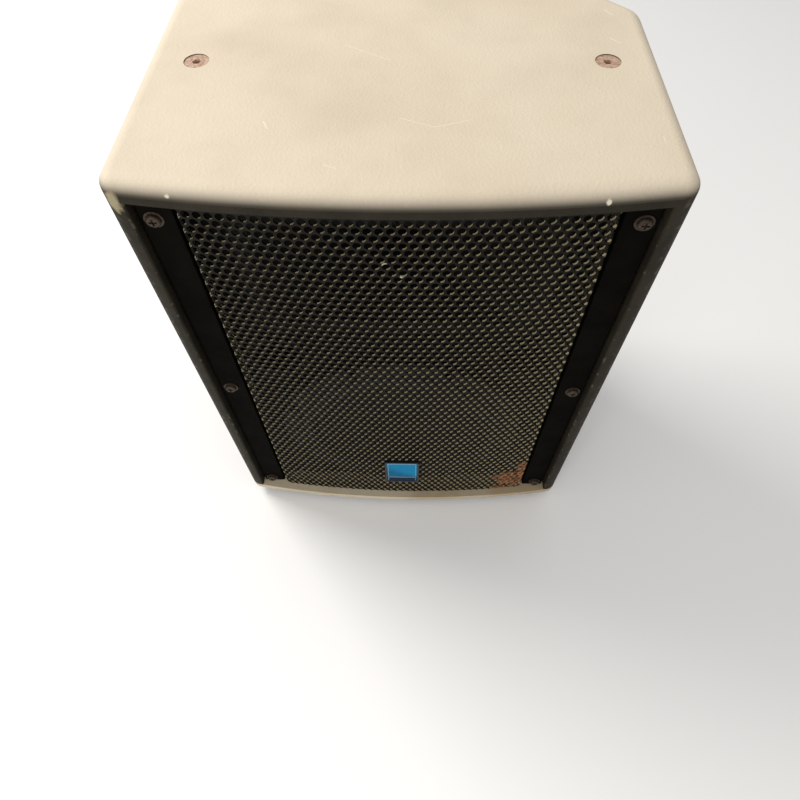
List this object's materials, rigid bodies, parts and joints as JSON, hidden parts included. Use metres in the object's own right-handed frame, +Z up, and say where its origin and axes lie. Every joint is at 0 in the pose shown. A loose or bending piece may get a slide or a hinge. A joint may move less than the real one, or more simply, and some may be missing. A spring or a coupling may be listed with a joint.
{
  "type": "stage monitor cabinet",
  "caption": "Upright passive two-way stage monitor: bowed perforated grille, woofer and horn in a wooden cabinet with a 45 degree rear corner, feet, side handle and pole socket.",
  "frame": {"origin": "under the middle of the cabinet, in the plane its feet stand on", "axes": "+Z up along the cabinet, the bowed front and grille look towards -Y, +X to the right seen from the front"},
  "size_m": [0.392, 0.305, 0.516],
  "materials": {
    "cabinet_paint": "textured charcoal paint over plywood, faded and dusty on top",
    "black_ply": "black brushed paint on plywood",
    "bare_timber": "sawn, unpainted",
    "rail_paint": "satin black",
    "grille_paint": "dusty black powder coat, rust at one lower corner",
    "aged_screw": "dulled, light rust",
    "fly_steel": "dulled, light rust",
    "black_rim": "gloss black",
    "badge_blue": "gloss blue with a pale border",
    "frame_paint": "satin black",
    "gasket_board": "closed-cell foam",
    "surround_rubber": "matte",
    "cone_paper": "pressed paper, dark",
    "coil_copper": "enamelled copper wire",
    "doped_cloth": "resin-doped cloth",
    "ferrite": "sintered",
    "zinc_steel": "zinc plated",
    "horn_plastic": "moulded, fine texture",
    "driver_metal": "satin black",
    "diaphragm_alloy": "thin foil",
    "foot_rubber": "matte",
    "socket_plastic": "glass-filled, matte",
    "dish_paint": "black powder coat",
    "grip_rubber": "ribbed",
    "nut_chrome": "nickel",
    "board_laminate": "green laminate",
    "standoff_nylon": "natural nylon",
    "capacitor_sleeve": "wrapped film",
    "resistor_ceramic": "matte",
    "lead_sleeve": "soft PVC",
    "terminal_brass": "tinned",
    "felt": "needled felt"
  },
  "bodies": {
    "cabinet": {"back_panel": "cabinet_paint", "badge_plate": "badge_blue", "badge_rim": "black_rim", "baffle_cleats": "bare_timber", "board_standoffs": "standoff_nylon", "bottom_panel": "cabinet_paint", "cross_brace": "bare_timber", "crossover_board": "board_laminate", "crossover_capacitors": "capacitor_sleeve", "crossover_coils": "coil_copper", "crossover_resistors": "resistor_ceramic", "damping_pad": "felt", "diaphragm_suspension": "doped_cloth", "driver_body": "driver_metal", "driver_cap": "driver_metal", "driver_lead": "lead_sleeve", "feet": "foot_rubber", "fly_screws": "fly_steel", "fly_tee_nuts": "zinc_steel", "foot_screws": "zinc_steel", "front_baffle": "black_ply", "grille": "grille_paint", "handle_dish": "dish_paint", "handle_grip": "grip_rubber", "handle_screws": "zinc_steel", "horn": "horn_plastic", "horn_screws": "frame_paint", "input_lead": "lead_sleeve", "input_plate": "dish_paint", "input_screws": "zinc_steel", "jack_nuts": "nut_chrome", "jack_sockets": "socket_plastic", "left_grille_rail": "rail_paint", "left_side_panel": "cabinet_paint", "magnet_ring": "ferrite", "magnet_top_plate": "zinc_steel", "phase_plug": "horn_plastic", "pole_piece": "zinc_steel", "pole_socket": "socket_plastic", "pole_socket_screws": "zinc_steel", "port_tubes": "horn_plastic", "rail_screws": "aged_screw", "rail_washers": "aged_screw", "right_grille_rail": "rail_paint", "right_side_panel": "cabinet_paint", "spider": "doped_cloth", "top_panel": "cabinet_paint", "wedge_feet": "foot_rubber", "wedge_panel": "cabinet_paint", "woofer_basket": "frame_paint", "woofer_bolts": "frame_paint", "woofer_gasket": "gasket_board", "woofer_lead": "lead_sleeve", "woofer_surround": "surround_rubber", "woofer_tee_nuts": "zinc_steel", "woofer_terminals": "terminal_brass"},
    "cone_assembly": {"woofer_cone": "cone_paper", "dust_cap": "cone_paper", "voice_coil": "coil_copper"},
    "diaphragm_assembly": {"diaphragm": "diaphragm_alloy"}
  },
  "joints": [
    {"name": "cone_travel", "type": "slide", "parent": "cabinet", "child": "cone_assembly", "axis": [0, -1, 0], "range_m": [-0.006, 0.006], "stiffness_N_per_m": 3000, "deforming": ["woofer_surround", "spider"]},
    {"name": "diaphragm_travel", "type": "slide", "parent": "cabinet", "child": "diaphragm_assembly", "axis": [0, -1, 0], "range_m": [-0.0003, 0.0003], "stiffness_N_per_m": 1500, "deforming": ["diaphragm_suspension"]}
  ]
}
